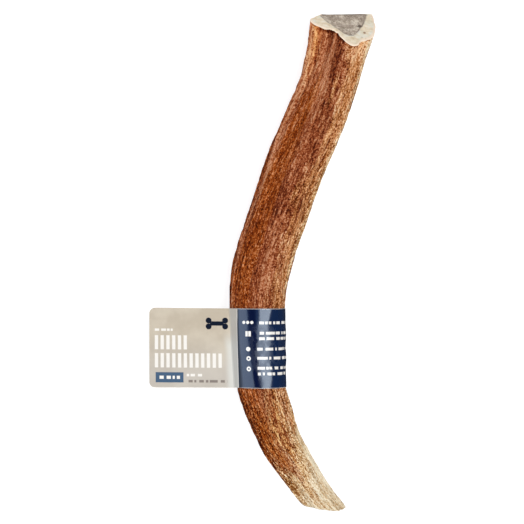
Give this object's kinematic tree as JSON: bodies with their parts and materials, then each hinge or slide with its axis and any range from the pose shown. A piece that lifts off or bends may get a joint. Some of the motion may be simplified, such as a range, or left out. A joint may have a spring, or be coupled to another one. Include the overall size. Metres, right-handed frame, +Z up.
{
  "type": "elk antler dog chew",
  "caption": "Sawn, gently S-curved length of brown elk antler, pale at its tip and cut ends, with a plain printed paper label wrapped round it and standing out as a flag.",
  "frame": {"origin": "on the surface that the chew lies on, under the middle of its bounding box", "axes": "+Y along the chew towards its thick sawn end, +Z up, +X to the right seen from above with +Y away"},
  "size_m": [0.1156, 0.255, 0.0271],
  "materials": {
    "antler": "ridged brown antler, satin, with pale sawn ends and a grey spongy core",
    "label": null
  },
  "bodies": {
    "root": {"antler": "antler", "label": "label"}
  },
  "joints": []
}
